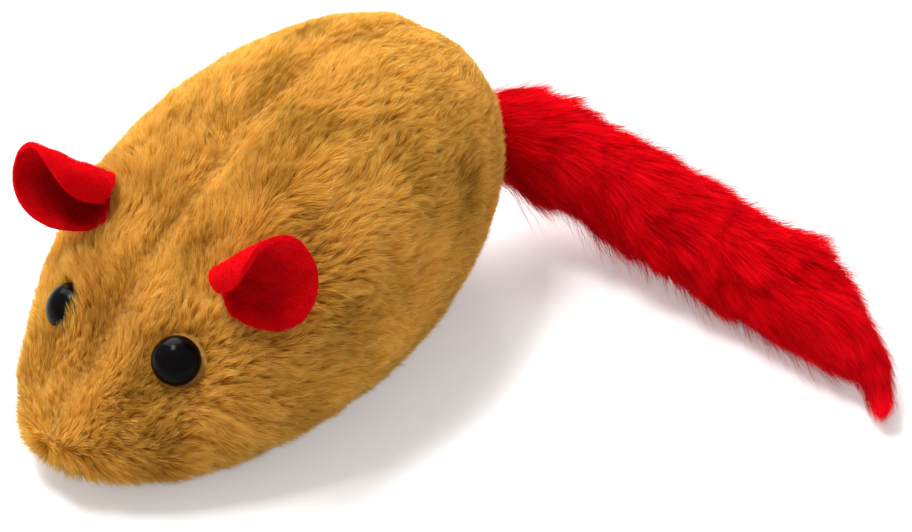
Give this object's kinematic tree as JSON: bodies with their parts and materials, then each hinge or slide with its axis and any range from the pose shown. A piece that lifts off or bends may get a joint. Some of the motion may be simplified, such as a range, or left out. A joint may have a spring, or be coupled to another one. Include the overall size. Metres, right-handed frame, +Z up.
{
  "type": "plush squeaky toy",
  "caption": "Stuffed plush mouse squeaky toy with felt ears, button eyes, a thick furry tail that bends, and a bellows squeaker inside that sounds when the back is pressed.",
  "frame": {"origin": "on the floor at the middle of the belly's flat, halfway between nose and rump", "axes": "+Z up, the nose points towards -Y, +X is the mouse's left"},
  "size_m": [0.1397, 0.1366, 0.0602],
  "materials": {
    "plush": "golden plush pile",
    "red_felt": "red felt",
    "red_pile": "long red pile",
    "black_plastic": "polished black",
    "natural_plastic": "natural white",
    "fibre": "loose white stuffing",
    "bellows_plastic": "soft milky plastic"
  },
  "bodies": {
    "belly": {"belly_panel": "plush", "belly_filling": "fibre", "squeaker_bellows": "bellows_plastic", "reed_holder": "natural_plastic", "reed_clamp": "natural_plastic"},
    "reed": {"reed_tongue": "natural_plastic"},
    "back": {"left_side_panel": "plush", "right_side_panel": "plush", "left_eye": "black_plastic", "right_eye": "black_plastic", "left_eye_washer": "natural_plastic", "right_eye_washer": "natural_plastic", "head_filling": "fibre", "back_filling": "fibre", "rump_filling": "fibre"},
    "left_ear": {"left_ear": "red_felt"},
    "right_ear": {"right_ear": "red_felt"},
    "tail_root": {"tail_root": "red_pile"},
    "tail_front": {"tail_front": "red_pile"},
    "tail_middle": {"tail_middle": "red_pile"},
    "tail_tip": {"tail_tip": "red_pile"}
  },
  "joints": [
    {"name": "squeeze", "type": "slide", "parent": "belly", "child": "back", "axis": [0, 0, -1], "range_m": [0, 0.007], "stiffness_N_per_m": 250, "springref_m": -0.004, "deforming": ["squeaker_bellows", "belly_filling"]},
    {"name": "reed_flutter", "type": "hinge", "parent": "belly", "child": "reed", "pos_m": [0, 0.0089, 0.0096], "axis": [1, 0, 0], "range_deg": [-2.5, 2.5], "stiffness_Nm_per_rad": 0.00002},
    {"name": "left_ear_fold", "type": "hinge", "parent": "back", "child": "left_ear", "pos_m": [0.01528, -0.02582, 0.03846], "axis": [0.4236, 0.2598, -0.8678], "range_deg": [-4, 20], "stiffness_Nm_per_rad": 0.01},
    {"name": "right_ear_fold", "type": "hinge", "parent": "back", "child": "right_ear", "pos_m": [-0.01865, -0.02036, 0.04134], "axis": [0.4295, 0.2042, 0.8797], "range_deg": [-30, 0], "stiffness_Nm_per_rad": 0.01},
    {"name": "tail_swing", "type": "hinge", "parent": "back", "child": "tail_root", "pos_m": [0, 0.05589, 0.026], "axis": [0, 0, 1], "range_deg": [0, 100]},
    {"name": "tail_lift", "type": "hinge", "parent": "tail_root", "child": "tail_front", "pos_m": [0.01604, 0.06597, 0.02024], "axis": [0.2959, -0.9552, 0], "range_deg": [0, 28]},
    {"name": "tail_bend", "type": "hinge", "parent": "tail_front", "child": "tail_middle", "pos_m": [0.04692, 0.07022, 0.01398], "axis": [0, 0, 1], "range_deg": [-28, 28]},
    {"name": "tail_tip_bend", "type": "hinge", "parent": "tail_middle", "child": "tail_tip", "pos_m": [0.07832, 0.06923, 0.00941], "axis": [0, 0, 1], "range_deg": [-28, 28]}
  ]
}
